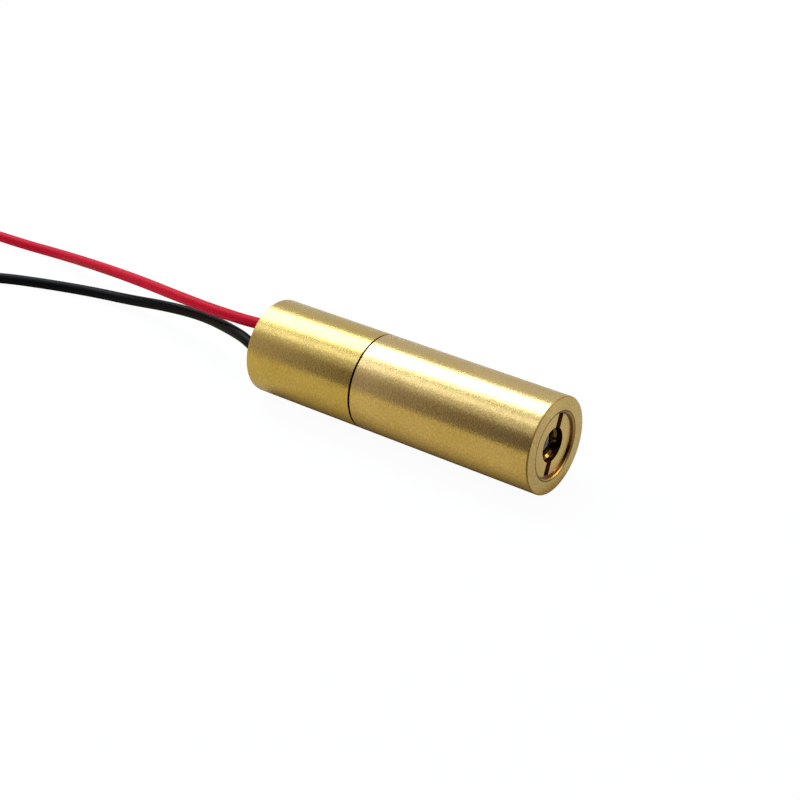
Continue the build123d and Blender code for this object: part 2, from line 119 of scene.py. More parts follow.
def add(tree, kind, inputs=None, **settings):
    """Adds a node with its settings. Each input takes a value, or a link from an output."""
    node = tree.nodes.new("ShaderNode" + kind)
    for key, value in settings.items():
        setattr(node, key, value)
    for key, value in (inputs or {}).items():
        if isinstance(value, bpy.types.NodeSocket):
            tree.links.new(value, node.inputs[key])
        else:
            node.inputs[key].default_value = value
    return node


def new_finish(name):
    """An empty material and its node tree."""
    material = bpy.data.materials.new(name)
    material.use_nodes = True
    material.node_tree.nodes.clear()
    return material, material.node_tree


def grains(size_x, size_y, size_z):
    """Pattern scale for grains of that size in millimetres along each axis."""
    return (1000 / size_x, 1000 / size_y, 1000 / size_z)


def turned_brass(name, bright, worn, mark_mm, mark_height_mm, roughness, spread, speckle=0.2):
    """Free-cutting brass turned on a lathe, rubbed with fine abrasive cloth and thinly lacquered.

    Its marks run round the tube, so reflections spread along the tube into long even bands, and
    short marks catch the light as a fine grain. The colour varies a little with handling, and
    the lacquer adds its own pale shine where a lamp is mirrored."""
    material, tree = new_finish(name)
    place = add(tree, "TexCoord").outputs["Object"]
    fine_place = add(tree, "Mapping", {"Vector": place, "Scale": grains(mark_mm, 0.8, 0.8)})
    fine = add(
        tree,
        "TexNoise",
        {"Vector": fine_place.outputs[0], "Scale": 1.0, "Detail": 3.0, "Roughness": 0.65},
    )
    cloud_place = add(tree, "Mapping", {"Vector": place, "Scale": grains(0.15, 0.2, 0.2)})
    cloud = add(
        tree,
        "TexNoise",
        {"Vector": cloud_place.outputs[0], "Scale": 1.0, "Detail": 4.0, "Roughness": 0.6},
    )
    patch_place = add(tree, "Mapping", {"Vector": place, "Scale": grains(6.0, 4.0, 4.0)})
    patch = add(tree, "TexNoise", {"Vector": patch_place.outputs[0], "Scale": 1.0, "Detail": 3.0})
    tone = add(tree, "MapRange", {"Value": patch.outputs["Fac"], "From Min": 0.35, "From Max": 0.7})
    colour = add(tree, "ValToRGB", {"Fac": tone.outputs[0]})
    colour.color_ramp.elements[0].color = linear(bright)
    colour.color_ramp.elements[1].color = linear(worn)
    pit_place = add(tree, "Mapping", {"Vector": place, "Scale": grains(0.1, 0.25, 0.25)})
    pit = add(
        tree,
        "TexNoise",
        {"Vector": pit_place.outputs[0], "Scale": 1.0, "Detail": 2.0, "Roughness": 0.6},
    )
    shade = add(
        tree,
        "MapRange",
        {
            "Value": pit.outputs["Fac"],
            "From Min": 0.3,
            "From Max": 0.7,
            "To Min": 1 - speckle,
            "To Max": 1 + speckle,
        },
    )
    speckled = add(
        tree, "VectorMath", {0: colour.outputs[0], "Scale": shade.outputs[0]}, operation="SCALE"
    )
    height = add(
        tree,
        "Math",
        {0: cloud.outputs["Fac"], 1: 1.2, 2: fine.outputs["Fac"]},
        operation="MULTIPLY_ADD",
    )
    bump = add(
        tree,
        "Bump",
        {"Height": height.outputs[0], "Strength": 1.0, "Distance": mark_height_mm * MM},
    )
    shine = add(
        tree,
        "MapRange",
        {
            "Value": cloud.outputs["Fac"],
            "From Min": 0.3,
            "From Max": 0.7,
            "To Min": roughness - 0.03,
            "To Max": roughness + 0.04,
        },
    )
    along = add(tree, "Tangent", direction_type="UV_MAP", uv_map="turned")
    brass = add(
        tree,
        "BsdfPrincipled",
        {
            "Base Color": speckled.outputs[0],
            "Specular Tint": linear("#D2C8B8"),
            "Metallic": 1.0,
            "Roughness": shine.outputs[0],
            "Anisotropic": spread,
            "Coat Weight": 0.6,
            "Coat Roughness": 0.2,
            "Normal": bump.outputs[0],
            "Tangent": along.outputs[0],
        },
    )
    add(tree, "OutputMaterial", {"Surface": brass.outputs[0]})
    return material


def plain_metal(name, bright, dull, roughness, grain_mm, height_mm):
    """Plated, drawn or cast metal: two close tones and a faint grain that breaks up its shine."""
    material, tree = new_finish(name)
    place = add(tree, "TexCoord").outputs["Object"]
    spot = add(tree, "Mapping", {"Vector": place, "Scale": grains(grain_mm, grain_mm, grain_mm)})
    grain = add(tree, "TexNoise", {"Vector": spot.outputs[0], "Scale": 1.0, "Detail": 3.0})
    colour = add(tree, "ValToRGB", {"Fac": grain.outputs["Fac"]})
    colour.color_ramp.elements[0].position = 0.35
    colour.color_ramp.elements[1].position = 0.65
    colour.color_ramp.elements[0].color = linear(dull)
    colour.color_ramp.elements[1].color = linear(bright)
    bump = add(
        tree, "Bump", {"Height": grain.outputs["Fac"], "Strength": 1.0, "Distance": height_mm * MM}
    )
    shine = add(
        tree,
        "MapRange",
        {
            "Value": grain.outputs["Fac"],
            "From Min": 0.3,
            "From Max": 0.7,
            "To Min": roughness - 0.05,
            "To Max": roughness + 0.05,
        },
    )
    metal = add(
        tree,
        "BsdfPrincipled",
        {
            "Base Color": colour.outputs[0],
            "Metallic": 1.0,
            "Roughness": shine.outputs[0],
            "Normal": bump.outputs[0],
        },
    )
    add(tree, "OutputMaterial", {"Surface": metal.outputs[0]})
    return material


def moulded(name, deep, light, roughness, grain_mm, height_mm, ior, coat=0.0, shine_level=0.5):
    """Plastic, epoxy, glaze or ceramic: two close tones mixed by a grain, over a slight bump."""
    material, tree = new_finish(name)
    place = add(tree, "TexCoord").outputs["Object"]
    spot = add(tree, "Mapping", {"Vector": place, "Scale": grains(*grain_mm)})
    grain = add(
        tree,
        "TexNoise",
        {"Vector": spot.outputs[0], "Scale": 1.0, "Detail": 4.0, "Roughness": 0.55},
    )
    colour = add(tree, "ValToRGB", {"Fac": grain.outputs["Fac"]})
    colour.color_ramp.elements[0].position = 0.3
    colour.color_ramp.elements[1].position = 0.7
    colour.color_ramp.elements[0].color = linear(deep)
    colour.color_ramp.elements[1].color = linear(light)
    bump = add(
        tree, "Bump", {"Height": grain.outputs["Fac"], "Strength": 1.0, "Distance": height_mm * MM}
    )
    body = add(
        tree,
        "BsdfPrincipled",
        {
            "Base Color": colour.outputs[0],
            "Roughness": roughness,
            "IOR": ior,
            "Specular IOR Level": shine_level,
            "Coat Weight": coat,
            "Coat Roughness": 0.12,
            "Normal": bump.outputs[0],
        },
    )
    add(tree, "OutputMaterial", {"Surface": body.outputs[0]})
    return material


def clear_glass(name, tint, ior, smudge, shine_level):
    """Polished optical glass: nearly clear, with a breath of dust that dulls it in patches.

    shine_level is 0.5 for bare glass and less under a coating against reflections."""
    material, tree = new_finish(name)
    place = add(tree, "TexCoord").outputs["Object"]
    spot = add(tree, "Mapping", {"Vector": place, "Scale": grains(0.7, 0.7, 0.7)})
    dust = add(tree, "TexNoise", {"Vector": spot.outputs[0], "Scale": 1.0, "Detail": 2.0})
    shine = add(
        tree,
        "MapRange",
        {"Value": dust.outputs["Fac"], "From Min": 0.4, "From Max": 0.8, "To Max": smudge},
    )
    glass = add(
        tree,
        "BsdfPrincipled",
        {
            "Base Color": linear(tint),
            "Roughness": shine.outputs[0],
            "IOR": ior,
            "Specular IOR Level": shine_level,
            "Transmission Weight": 1.0,
        },
    )
    add(tree, "OutputMaterial", {"Surface": glass.outputs[0]})
    return material


# A 240 grit cloth leaves marks about 0.05 mm across on turned brass. They are drawn 0.1 mm across
# and more, the finest that shows in the render.
front_brass = turned_brass("turned_brass_front", "#B79E62", "#AE9453", 0.12, 0.012, 0.27, 0.8)
rear_brass = turned_brass("turned_brass_rear", "#B0984E", "#A68D44", 0.12, 0.012, 0.27, 0.8)
nut_brass = turned_brass("turned_brass_nut", "#BBA262", "#B39757", 0.1, 0.004, 0.28, 0.7, 0.08)
# Bores, threads and the seam are cut but not rubbed. Their dark brown colour is painted shade,
# for the light that meets their brass many times
cut_brass_painted_shade = plain_metal("cut_brass_bore_painted_shade", "#643C1A", "#4C2C12", 0.24, 0.1, 0.003)
# The lips of the mouth and of the aperture are darker still: painted shade, in a dull olive
lip_brass_painted_shade = plain_metal("cut_brass_lip_painted_shade", "#5E4A20", "#4C3B18", 0.12, 0.1, 0.003)
# An edge that a file has broken is duller than the turned faces beside it, and its darker tone
# is painted dark reflection along the rims and the mouth's bevel
rim_brass_painted_dark = plain_metal("filed_brass_rim_painted_dark", "#9A7F46", "#866B38", 0.42, 0.1, 0.003)
# The slot is milled with a small cutter: duller and browner than the turned face
slot_brass = plain_metal("milled_brass_slot", "#A8743E", "#86572B", 0.45, 0.12, 0.004)
# Moulded aspheric glass, index about 1.52 and coated against reflections, tinted near black as
# painted shade for the dark inside of the aperture, and the flat window of the can
lens_glass_painted_shade = clear_glass("moulded_lens_glass_painted_shade", "#1C1E1B", 1.52, 0.03, 0.01)
window_glass = clear_glass("can_window_glass", "#EDF4F1", 1.5, 0.02, 0.2)
# Music wire, drawn: steel with fine drag lines too small to show, so drawn as a faint grain
spring_steel = plain_metal("drawn_spring_steel", "#A3A4A6", "#86878A", 0.28, 0.06, 0.0008)
# Header and pins are gold plated over nickel: warm, even, a little soft
header_gold = plain_metal("gold_plated_header", "#E0C078", "#CFA95C", 0.25, 0.1, 0.0008)
pin_gold = plain_metal("gold_plated_pin", "#DDBD7C", "#C9A562", 0.28, 0.1, 0.0008)
block_gold = plain_metal("gold_plated_copper", "#DCAA66", "#C58F50", 0.3, 0.08, 0.0008)
# The cap is drawn from nickel plated steel
can_nickel = plain_metal("nickel_plated_can", "#C2BFB6", "#A9A69E", 0.22, 0.09, 0.0006)
# Ground aluminium nitride, cleaved crystal and polished silicon
ground_ceramic = moulded(
    "ground_nitride_ceramic", "#C9CCC8", "#DDDFDB", 0.5, (0.06, 0.06, 0.06), 0.0008, 1.6
)
cleaved_crystal = plain_metal("cleaved_crystal", "#6A6470", "#544E5A", 0.15, 0.05, 0.0002)
polished_silicon = plain_metal("polished_silicon", "#474C60", "#363A4B", 0.12, 0.1, 0.0002)
# Glass fused round the pins: dark grey green with a soft meniscus shine
seal_glass = moulded("fused_seal_glass", "#38453F", "#53625B", 0.15, (0.3, 0.3, 0.3), 0.0008, 1.5)
# Glass fibre board under green solder resist: the weave shows as a slight ripple
resist_green = moulded(
    "green_solder_resist", "#0D5529", "#167338", 0.32, (0.5, 0.5, 0.5), 0.003, 1.5, 0.3
)
# Chip resistors have a black glaze, ceramic capacitors a matt tan body
black_glaze = moulded(
    "black_resistor_glaze", "#121217", "#202127", 0.28, (0.15, 0.15, 0.15), 0.0006, 1.5
)
tan_ceramic = moulded(
    "fired_capacitor_ceramic", "#866242", "#9C7651", 0.55, (0.05, 0.05, 0.05), 0.001, 1.6
)
# Moulded epoxy case of the transistors: charcoal, with a fine spark-eroded texture
case_epoxy = moulded(
    "moulded_case_epoxy", "#121213", "#1F1F21", 0.55, (0.05, 0.05, 0.05), 0.0015, 1.52
)
# Tinned ends and legs, and solder that froze smooth with slight ripples
bright_tin = plain_metal("bright_tin", "#CBCBC9", "#B2B2B1", 0.3, 0.12, 0.0012)
soft_solder = plain_metal("soft_solder", "#C2C5C8", "#A8ABAF", 0.2, 0.3, 0.003)
# Two-part epoxy poured round the leads: near black and glossy, with a few soft waves
potting_epoxy = moulded(
    "poured_potting_epoxy", "#0B0B0D", "#19191C", 0.14, (0.9, 0.9, 0.9), 0.02, 1.55, 0.2
)
# Extruded vinyl insulation: an even colour, a satin sheen and slight unevenness along the wire
red_vinyl = moulded(
    "red_vinyl_insulation", "#B20620", "#BE0925", 0.42, (0.9, 0.5, 0.5), 0.012, 1.5, 0.0, 0.05
)
black_vinyl = moulded(
    "black_vinyl_insulation", "#060606", "#090909", 0.38, (0.9, 0.5, 0.5), 0.012, 1.5, 0.0, 0.04
)

node_finish = {
    "collimating_lens": lens_glass_painted_shade,
    "diode_stem": header_gold,
    "diode_cap": can_nickel,
    "diode_window": window_glass,
    "chip_mount": block_gold,
    "chip_submount": ground_ceramic,
    "laser_chip": cleaved_crystal,
    "monitor_photodiode": polished_silicon,
    "laser_lead": pin_gold,
    "monitor_lead": pin_gold,
    "case_lead": pin_gold,
    "lead_seals": seal_glass,
    "driver_board": resist_green,
    "resistor_bodies": black_glaze,
    "resistor_ends": bright_tin,
    "capacitor_bodies": tan_ceramic,
    "capacitor_ends": bright_tin,
    "transistor_bodies": case_epoxy,
    "transistor_legs": bright_tin,
    "wire_cores": bright_tin,
    "solder_joints": soft_solder,
}
for node_name, finish in node_finish.items():
    for material_slot in nodes[node_name].material_slots:
        material_slot.material = finish


def grid_piece(
    name, points, material, uv=None, close_rows=True, caps=False, crease=CREASE, other_rows=()
):
    """A grid of points, shape (rows, columns, 3), that closes across its columns.

    Where its rows don't close, caps fills both end rings. uv, one row and one column larger than
    the grid, goes to the map named turned. other_rows gives a finish and the rows of faces that
    have it in place of material, such as the cut brass inside a bore, a seam or a thread."""
    rows, columns = points.shape[:2]
    face_rows = rows if close_rows else rows - 1
    i, j = np.meshgrid(np.arange(face_rows), np.arange(columns), indexing="ij")
    i_next, j_next = (i + 1) % rows, (j + 1) % columns
    corners = [
        i * columns + j,
        i_next * columns + j,
        i_next * columns + j_next,
        i * columns + j_next,
    ]
    faces = np.stack(corners, -1).reshape(-1, 4).tolist()
    if caps:
        faces.append(list(range(columns)))
        faces.append(list(range(rows * columns - 1, (rows - 1) * columns - 1, -1)))
    mesh = bpy.data.meshes.new(name)
    mesh.from_pydata(points.reshape(-1, 3).tolist(), [], faces)
    if uv is not None:
        layer = mesh.uv_layers.new(name="turned")
        corner_uv = np.stack([uv[:-1, :-1], uv[1:, :-1], uv[1:, 1:], uv[:-1, 1:]], 2)[:face_rows]
        layer.data.foreach_set("uv", corner_uv.astype(np.float32).ravel())
    mesh.materials.append(material)
    if other_rows:
        finish_index = np.zeros((face_rows, columns), np.int32)
        for index, (finish, finish_rows) in enumerate(other_rows, 1):
            mesh.materials.append(finish)
            finish_index[finish_rows] = index
        mesh.polygons.foreach_set("material_index", finish_index.ravel())
    mesh.shade_smooth()
    mesh.set_sharp_from_angle(angle=crease)
    thing = bpy.data.objects.new(name, mesh)
    bpy.context.scene.collection.objects.link(thing)
    return thing


def turned_piece(name, outline, material, other_rows, reshape=None):
    """A turned piece: a closed outline of (x, radius) points carried once round the X axis.

    Walking along the outline keeps the metal on the left, with X to the right and the radius up,
    so its faces point outwards. reshape(x, angle, radius) gives x and the radius anew."""
    outline = np.asarray(outline, float)
    angle = np.linspace(0, 2 * np.pi, AROUND, endpoint=False)[None, :]
    x = np.repeat(outline[:, :1], AROUND, axis=1)
    radius = np.repeat(outline[:, 1:], AROUND, axis=1)
    if reshape is not None:
        x, radius = reshape(x, angle, radius)
    points = np.stack([x, radius * np.cos(angle), radius * np.sin(angle)], -1)
    step = np.linalg.norm(np.roll(outline, -1, axis=0) - outline, axis=1)
    along = np.concatenate([[0], np.cumsum(step)])
    way_round = np.linspace(0, 2 * np.pi, AROUND + 1) * outline[:, 1].max()
    uv = np.stack(np.meshgrid(along, way_round, indexing="ij"), -1)
    return grid_piece(name, points, material, uv, other_rows=other_rows)


def broken_edge(before, corner, after, size):
    """A small round in place of a corner: a parabola between points that lie size from it."""
    before, corner, after = (np.asarray(point, float) for point in (before, corner, after))
    start = corner + (before - corner) / np.linalg.norm(before - corner) * size
    end = corner + (after - corner) / np.linalg.norm(after - corner) * size
    t = np.linspace(0, 1, EDGE_POINTS)[:, None]
    return (1 - t) ** 2 * start + 2 * t * (1 - t) * corner + t**2 * end


def thread_tooth(x, angle):
    """A right-hand thread: 0 on its outer flat, 1 on its inner one, with straight flanks between.

    Each flat takes a seventh of the pitch."""
    phase = (x / thread_pitch - angle / (2 * np.pi)) % 1.0
    return np.clip((1 - np.abs(phase * 2 - 1)) * 1.4 - 0.2, 0, 1)


barrel_low, barrel_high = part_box("front_barrel")
sleeve_low, sleeve_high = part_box("rear_sleeve")
nut_low, nut_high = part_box("lens_nut")
stem_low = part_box("diode_stem")[0]
cap_low, cap_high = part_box("diode_cap")
seal_low, seal_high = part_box("wire_seal")
spring_low, spring_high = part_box("focus_spring")
body_radius = barrel_high[2]
front_x, spigot_x = barrel_high[0], barrel_low[0]
rear_x, sleeve_x = sleeve_low[0], sleeve_high[0]
barrel_rear_x = sleeve_x + seam_width
nut_radius = nut_high[2]
thread_root = nut_radius + thread_room
floor_z = -body_radius

# Front barrel: outside, seam wall, spigot, then the bores from the rear and the threaded mouth
flange_x = cap_low[0] + flange_bore_depth
spring_seat_x = cap_high[0] + seat_lip
thread_end_x = front_x - thread_bore_depth
mouth_x = front_x - mouth_break - mouth_lead_in
thread_xs = np.arange(thread_end_x, mouth_x, thread_pitch / PITCH_ROWS)
mouth_xs = np.linspace(mouth_x, front_x, MOUTH_ROWS + 1)[:-1]
threaded = np.concatenate([thread_xs, mouth_xs])
barrel_outline = np.concatenate(
    [
        broken_edge((front_x, 0), (front_x, body_radius), (0, body_radius), edge_break),
        broken_edge(
            (0, body_radius), (barrel_rear_x, body_radius), (barrel_rear_x, 0), seam_edge_break
        ),
        [
            (barrel_rear_x, spigot_radius),
            (spigot_x, spigot_radius),
            (spigot_x, rear_bore_radius),
            (stem_low[0], rear_bore_radius),
            (stem_low[0], stem_bore_radius),
            (cap_low[0], stem_bore_radius),
            (cap_low[0], flange_bore_radius),
            (flange_x, flange_bore_radius),
            (flange_x, cap_hole_radius),
            (spring_seat_x, cap_hole_radius),
            (spring_seat_x, spring_bore_radius),
            (thread_end_x, spring_bore_radius),
        ],
        np.stack([threaded, np.full(len(threaded), thread_root)], -1),
        [(front_x, thread_root + mouth_break), (front_x, thread_root + mouth_break + mouth_edge)],
    ]
)
# Rows of the outline by their number: the seam's wall, the thread, the mouth's bevel and the lip
seam_wall = slice(EDGE_POINTS, 2 * EDGE_POINTS + 1)
mouth_lip_row = len(barrel_outline) - 2
mouth_from = mouth_lip_row - len(mouth_xs)
threaded_rows = slice(mouth_lip_row - len(threaded), mouth_lip_row)


def barrel_shape(x, angle, radius):
    """The thread's ridges stand inwards from its root, and the mouth's bevel cuts them back.

    The wall of the seam isn't quite square to the axis, so the seam narrows as a cosine from its
    widest place on the -Y side to the opposite one."""
    ridged = thread_root - thread_depth * thread_tooth(x, angle)
    bevel = thread_root + mouth_break - (front_x - x)
    x, radius = x.copy(), radius.copy()
    radius[threaded_rows] = np.maximum(ridged, bevel)[threaded_rows]
    x[seam_wall] -= seam_lean * (1 - np.cos(angle - seam_widest))
    return x, radius


# Painted shade in the bores, thread and seam, painted dark reflection on the rims and the mouth's
# bevel, and painted shade on the mouth's lip
barrel_finishes = (
    (cut_brass_painted_shade, np.r_[EDGE_POINTS:mouth_from]),
    (rim_brass_painted_dark, np.r_[1 : EDGE_POINTS - 1, mouth_from:mouth_lip_row]),
    (lip_brass_painted_shade, [mouth_lip_row]),
)
front_barrel = turned_piece(
    "front_barrel_turned", barrel_outline, front_brass, barrel_finishes, barrel_shape
)
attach(front_barrel, "housing")
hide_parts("front_barrel")

# Rear sleeve: outside, rear rim, open bore and the socket that takes the spigot
socket_x = spigot_x - spigot_end_gap
sleeve_outline = np.concatenate(
    [
        broken_edge((sleeve_x, 0), (sleeve_x, body_radius), (rear_x, body_radius), seam_edge_break),
        broken_edge((0, body_radius), (rear_x, body_radius), (rear_x, 0), edge_break),
        [
            (rear_x, sleeve_bore_radius),
            (socket_x, sleeve_bore_radius),
            (socket_x, socket_radius),
            (sleeve_x, socket_radius),
        ],
    ]
)
# Painted shade on the sleeve's seam edge and in its bore
sleeve_cut = (cut_brass_painted_shade, np.r_[0 : EDGE_POINTS - 1, 2 * EDGE_POINTS : len(sleeve_outline)])
rear_sleeve = turned_piece("rear_sleeve_turned", sleeve_outline, rear_brass, (sleeve_cut,))
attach(rear_sleeve, "housing")
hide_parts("rear_sleeve")

# Lens nut: face, threaded outside, rear, lens bore and the aperture in its front wall
nut_front_x, nut_rear_x = nut_high[0], nut_low[0]
aperture_x = nut_front_x - nut_wall
nut_thread_xs = np.arange(
    nut_front_x - nut_break, nut_rear_x + nut_break, -thread_pitch / PITCH_ROWS
)
nut_outline = np.concatenate(
    [
        [(nut_front_x, nut_radius - nut_break)],
        np.stack([nut_thread_xs, np.full(len(nut_thread_xs), nut_radius)], -1),
        [
            (nut_rear_x, nut_radius - nut_break - thread_depth),
            (nut_rear_x, nut_bore_radius),
            (aperture_x, nut_bore_radius),
            (aperture_x, aperture_radius - aperture_lip),
            (aperture_x + aperture_step, aperture_radius - aperture_lip),
            (aperture_x + aperture_step + aperture_lip, aperture_radius),
        ],
        broken_edge(
            (aperture_x, aperture_radius),
            (nut_front_x, aperture_radius),
            (nut_front_x, nut_radius),
            aperture_break,
        ),
    ]
)


def nut_shape(x, angle, radius):
    """The nut's thread is the barrel's, smaller by the room between them."""
    ridged = nut_radius - thread_depth * thread_tooth(x, angle)
    bevel = nut_radius - nut_break + (nut_front_x - x)
    rows = slice(1, 1 + len(nut_thread_xs))
    radius = radius.copy()
    radius[rows] = np.minimum(ridged, bevel)[rows]
    return x, radius


def block_piece(name, centre, half_sizes, axes, material):
    """A box: the eight sums of its centre and its half sizes along three right-handed axes."""
    signs = np.array([(i, j, k) for i in (-1, 1) for j in (-1, 1) for k in (-1, 1)], float)
    points = np.asarray(centre) + (signs * half_sizes) @ np.asarray(axes)
    faces = [(0, 1, 3, 2), (4, 6, 7, 5), (0, 4, 5, 1), (2, 3, 7, 6), (0, 2, 6, 4), (1, 5, 7, 3)]
    mesh = bpy.data.meshes.new(name)
    mesh.from_pydata(points.tolist(), [], faces)
    layer = mesh.uv_layers.new(name="turned")
    layer.data.foreach_set("uv", np.tile([0, 0, 1, 0, 1, 1, 0, 1], len(faces)).astype(np.float32))
    mesh.materials.append(material)
    thing = bpy.data.objects.new(name, mesh)
    bpy.context.scene.collection.objects.link(thing)
    return thing


lip_row = len(nut_outline) - EDGE_POINTS - 2
# Painted shade in the nut's thread, bore and aperture wall, and on the aperture's lip
nut_finishes = ((cut_brass_painted_shade, np.r_[1:lip_row, lip_row + 1]), (lip_brass_painted_shade, [lip_row]))
lens_nut = turned_piece("lens_nut_turned", nut_outline, nut_brass, nut_finishes, nut_shape)
# The slot is cut by a long block that stands out of the nut's face by as much as it goes in
slot_along = np.array([0, np.sin(slot_lean), np.cos(slot_lean)])
slot_across = np.array([0, np.cos(slot_lean), -np.sin(slot_lean)])
slot_cutter = block_piece(
    "slot_cutter",
    np.array([nut_front_x, 0, 0]) + slot_across * slot_offset,
    (slot_depth, slot_width / 2, 1.4 * nut_radius),
    ((1, 0, 0), slot_across, slot_along),
    slot_brass,
)
cut = lens_nut.modifiers.new("slot", "BOOLEAN")
cut.object = slot_cutter
cut.operation = "DIFFERENCE"
cut.solver = "EXACT"
cut.material_mode = "TRANSFER"
bpy.context.view_layer.update()
cut_nut = lens_nut.evaluated_get(bpy.context.evaluated_depsgraph_get())
slotted = bpy.data.meshes.new_from_object(cut_nut)
lens_nut.modifiers.clear()
lens_nut.data = slotted
slotted.set_sharp_from_angle(angle=CREASE)
bpy.data.objects.remove(slot_cutter)
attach(lens_nut, "focus_nut")
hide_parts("lens_nut")


def tube_along(name, line, side, diameter, sides, material, shape=None):
    """A tube round a line of points: a ring square to the line at each point, its ends closed.

    side gives each ring's first direction. shape(along, angle) scales the radius of a ring."""
    tangent = np.gradient(line, axis=0)
    tangent /= np.linalg.norm(tangent, axis=1, keepdims=True)
    side = side - (side * tangent).sum(axis=1, keepdims=True) * tangent
    side /= np.linalg.norm(side, axis=1, keepdims=True)
    other = np.cross(tangent, side)
    angle = np.linspace(0, 2 * np.pi, sides, endpoint=False)
    along = np.concatenate([[0], np.cumsum(np.linalg.norm(np.diff(line, axis=0), axis=1))])
    radius = np.full((len(line), sides), diameter / 2)
    if shape is not None:
        radius = radius * shape(along[:, None], angle[None, :])
    turn = angle[None, :, None]
    ring = side[:, None, :] * np.cos(turn) - other[:, None, :] * np.sin(turn)
    points = line[:, None, :] + ring * radius[..., None]
    return grid_piece(name, points, material, close_rows=False, caps=True, crease=2 * CREASE)


# Focus spring: a helix of music wire that the lens presses on
spring_radius = spring_high[2] - spring_wire / 2
spring_ends = (spring_low[0] + spring_wire / 2, spring_high[0] - spring_wire / 2)
turn_angle = np.linspace(0, 2 * np.pi * spring_turns, SPRING_ROWS * spring_turns + 1)
helix = np.stack(
    [
        np.linspace(*spring_ends, len(turn_angle)),
        spring_radius * np.cos(turn_angle),
        spring_radius * np.sin(turn_angle),
    ],
    -1,
)
focus_spring = tube_along(
    "focus_spring_wound", helix, helix * [0, 1, 1], spring_wire, SPRING_SIDES, spring_steel
)
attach(focus_spring, "housing")
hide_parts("focus_spring")
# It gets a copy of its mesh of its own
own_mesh(focus_spring)

# Leads, from the driver board through the epoxy to their coils. Points in millimetres.
wire_z = (floor_z + wire_diameter / 2) / MM
wire_top_z = wire_z + coil_layer_pitch / MM
red_route = [
    (-11.1, 1.5, 0.31),
    (-14.6, 1.7, 1.1),
    (-19.0, 1.2, 0.7),
    (-24.5, 1.3, 0.45),
    (-30.0, 2.1, 0.0),
    (-36.0, 3.4, -0.7),
    (-42.0, 4.9, -1.7),
    (-48.0, 6.35, -2.8),
    (-53.5, 7.75, wire_z),
    (-59.0, 7.2, wire_z),
    (-67.5, 6.95, wire_z),
    (-76.0, 6.9, wire_z),
    (-81.0, 6.7, wire_top_z),
]
black_route = [
    (-11.1, -1.9, -1.31),
    (-14.6, -2.0, -1.5),
    (-18.4, -0.55, -0.3),
    (-22.4, 1.05, -0.8),
    (-27.5, 2.8, -1.65),
    (-33.0, 3.4, -2.5),
    (-38.5, 3.6, -3.5),
    (-43.5, 3.3, wire_z),
    (-49.0, 1.7, wire_z),
    (-54.5, -0.3, wire_z),
    (-59.5, -3.6, wire_z),
    (-63.5, -6.3, -3.34),
    (-67.0, -7.2, wire_top_z),
]


def coil_points(route, turns, side):
    """A coil's points after a route's last one, to the side of -Y for 1 and of +Y for -1.

    A circle starts in the upper layer and comes down to the floor before its first turn ends,
    and a straight end follows it. The smooth wire runs just inside of its control points, so
    these lie a little further out than the coil's radius."""
    points_a_turn = 24
    lug, radius = coil_lug / MM, coil_radius / MM * 1.004
    x, y = route[-1][:2]
    share = np.arange(int(round(points_a_turn * turns)) + 1) / points_a_turn
    fall_from, fall_to = turns - 0.95, 0.97
    fall = np.clip((share - fall_from) / (fall_to - fall_from), 0, 1)
    height = wire_top_z + (wire_z - wire_top_z) * fall * fall * (3 - 2 * fall)
    angle = side * (np.pi / 2 + 2 * np.pi * share)
    ring = np.stack(
        [
            x - lug + radius * np.cos(angle),
            y - side * coil_radius / MM + radius * np.sin(angle),
            height,
        ],
        -1,
    )
    heading = side * np.array([-np.sin(angle[-1]), np.cos(angle[-1]), 0])
    return np.concatenate([ring, [ring[-1] + heading * lug * 0.5, ring[-1] + heading * lug]])


def wire_curve(name, points_mm, material):
    """A wire as a round curve on one smooth spline through the given control points."""
    curve = bpy.data.curves.new(name, "CURVE")
    curve.dimensions = "3D"
    curve.resolution_u = 10
    curve.bevel_depth = wire_diameter / 2
    curve.bevel_resolution = 5
    curve.use_fill_caps = True
    spline = curve.splines.new("NURBS")
    spline.points.add(len(points_mm) - 1)
    flat = np.concatenate([np.asarray(points_mm) * MM, np.ones((len(points_mm), 1))], axis=1)
    spline.points.foreach_set("co", flat.astype(np.float32).ravel())
    spline.order_u = 3
    spline.use_endpoint_u = True
    curve.materials.append(material)
    thing = bpy.data.objects.new(name, curve)
    bpy.context.scene.collection.objects.link(thing)
    return thing


def centre_line(curve_object):
    """The points of a curve's own line, read from a copy without its round section."""
    bare = curve_object.data.copy()
    bare.bevel_depth = 0
    holder = bpy.data.objects.new("centre_line", bare)
    bpy.context.scene.collection.objects.link(holder)
    bpy.context.view_layer.update()
    smooth = holder.evaluated_get(bpy.context.evaluated_depsgraph_get())
    line_mesh = bpy.data.meshes.new_from_object(smooth)
    points = np.empty(len(line_mesh.vertices) * 3, np.float32)
    line_mesh.vertices.foreach_get("co", points)
    bpy.data.objects.remove(holder)
    bpy.data.curves.remove(bare)
    bpy.data.meshes.remove(line_mesh)
    return points.reshape(-1, 3).astype(float)


def twisted_strands(along, angle):
    """Seven tinned strands: lobes round the ring that turn as they go, drawn in at the cut end."""
    twist_length = 1.1 * MM
    end_length = 0.16 * MM
    lobes = 0.88 + 0.12 * np.abs(np.cos(7 / 2 * (angle - along / twist_length)))
    past = np.clip((along - along.max()) / end_length + 1, 0, 1)
    return lobes * np.sqrt(1 - 0.9 * past**2)


